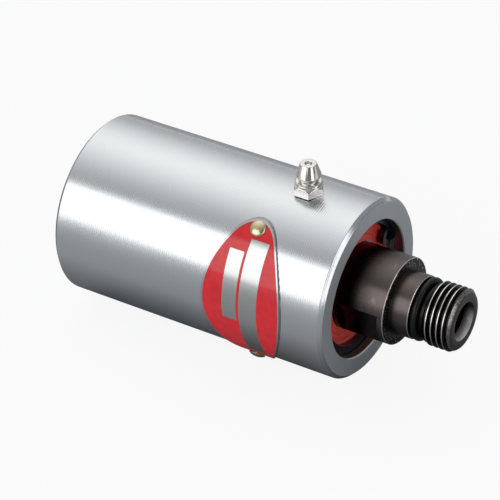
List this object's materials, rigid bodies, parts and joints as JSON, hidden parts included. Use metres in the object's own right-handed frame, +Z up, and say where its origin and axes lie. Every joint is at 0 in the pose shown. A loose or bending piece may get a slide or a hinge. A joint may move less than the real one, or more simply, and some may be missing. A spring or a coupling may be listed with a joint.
{
  "type": "hydraulic rotary union",
  "caption": "Round rotary union: aluminium casing with a grease nipple and red plate, and a black hollow rotor with a threaded nose that turns on ball bearings.",
  "frame": {"origin": "centre of the rotor's shoulder, where its pilot starts", "axes": "+X along the rotor towards its threaded nose, +Z up through the grease nipple"},
  "size_m": [0.103, 0.0465, 0.054],
  "materials": {
    "turned_aluminium": "bare satin silver with fine turning lines",
    "red_plate": "etched plate with red enamel",
    "brass": "bright brass",
    "nickel_plate": "bright nickel plate",
    "spring_steel": "drawn spring wire",
    "black_spring_steel": "phosphated black, oiled",
    "bearing_steel": "ground and polished",
    "cage_polyamide": "moulded, natural colour",
    "red_rubber": "moulded seal rubber, satin",
    "turned_steel": "turned, bare",
    "black_oxide_steel": "turned and blackened, oiled",
    "black_rubber": "moulded, satin",
    "carbon": "lapped carbon graphite"
  },
  "bodies": {
    "casing": {"casing": "turned_aluminium", "nameplate": "red_plate", "plate_screws": "brass", "grease_nipple": "nickel_plate", "nipple_spring": "spring_steel", "casing_retaining_ring": "black_spring_steel", "front_outer_ring": "bearing_steel", "front_bearing_seal": "red_rubber", "outer_spacer": "turned_steel", "rear_outer_ring": "bearing_steel", "rear_bearing_seal": "red_rubber", "lip_seal": "black_rubber", "garter_spring": "spring_steel", "seal_spring": "spring_steel", "spring_gland": "brass", "balance_o_ring": "black_rubber", "gland_o_ring": "black_rubber", "drive_pins": "turned_steel"},
    "rotor": {"rotor": "black_oxide_steel", "rotor_o_ring": "black_rubber", "front_inner_ring": "bearing_steel", "inner_spacer": "turned_steel", "rear_inner_ring": "bearing_steel", "rotor_retaining_ring": "black_spring_steel", "seat_ring": "turned_steel"},
    "front_ball_set": {"front_cage": "cage_polyamide", "front_balls": "bearing_steel"},
    "rear_ball_set": {"rear_cage": "cage_polyamide", "rear_balls": "bearing_steel"},
    "floating_seal": {"seal_carrier": "turned_steel", "carbon_ring": "carbon"},
    "check_ball": {"nipple_ball": "nickel_plate"}
  },
  "joints": [
    {"name": "rotor_spin", "type": "hinge", "parent": "casing", "child": "rotor", "pos_m": [0, 0, 0], "axis": [1, 0, 0], "continuous": true},
    {"name": "front_ball_set_spin", "type": "hinge", "parent": "casing", "child": "front_ball_set", "pos_m": [-0.019, 0, 0], "axis": [1, 0, 0], "continuous": true},
    {"name": "rear_ball_set_spin", "type": "hinge", "parent": "casing", "child": "rear_ball_set", "pos_m": [-0.034, 0, 0], "axis": [1, 0, 0], "continuous": true},
    {"name": "seal_slide", "type": "slide", "parent": "casing", "child": "floating_seal", "axis": [1, 0, 0], "range_m": [-0.0015, 0], "stiffness_N_per_m": 2000, "springref_m": 0.006, "deforming": ["seal_spring"]},
    {"name": "check_ball_slide", "type": "slide", "parent": "casing", "child": "check_ball", "axis": [0, 0, 1], "range_m": [-0.0008, 0], "stiffness_N_per_m": 50, "springref_m": 0.002, "deforming": ["nipple_spring"]}
  ],
  "couplings": [
    {"joint": "front_ball_set_spin", "follows": "rotor_spin", "ratio": 0.40842},
    {"joint": "rear_ball_set_spin", "follows": "rotor_spin", "ratio": 0.40842}
  ]
}
